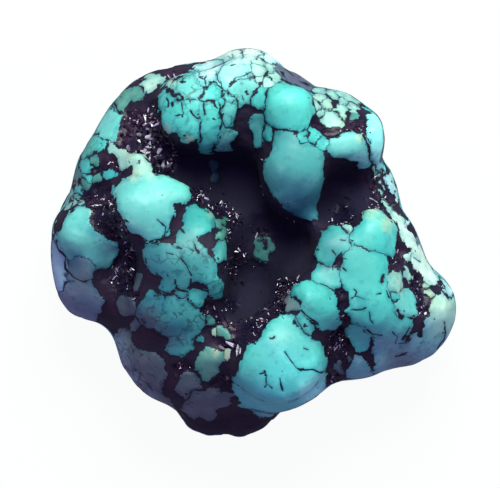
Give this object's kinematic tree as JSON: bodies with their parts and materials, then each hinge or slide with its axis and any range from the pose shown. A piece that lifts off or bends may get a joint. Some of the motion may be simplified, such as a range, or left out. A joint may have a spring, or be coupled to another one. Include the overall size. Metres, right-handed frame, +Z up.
{
  "type": "turquoise nugget",
  "caption": "Tumbled turquoise nugget with black matrix between its lumps, hollowed in the middle of its face and worn flat underneath to rest on.",
  "frame": {"origin": "on the resting plane, under the middle of the stone's bounding box", "axes": "+Z up through the hollowed face, with the stone lying on its back; +X along the stone's longest extent; +Y completes the frame, with the nub at the -Y end"},
  "size_m": [0.0382, 0.0366, 0.02],
  "materials": {
    "turquoise": null
  },
  "bodies": {
    "root": {"nugget": "turquoise"}
  },
  "joints": []
}
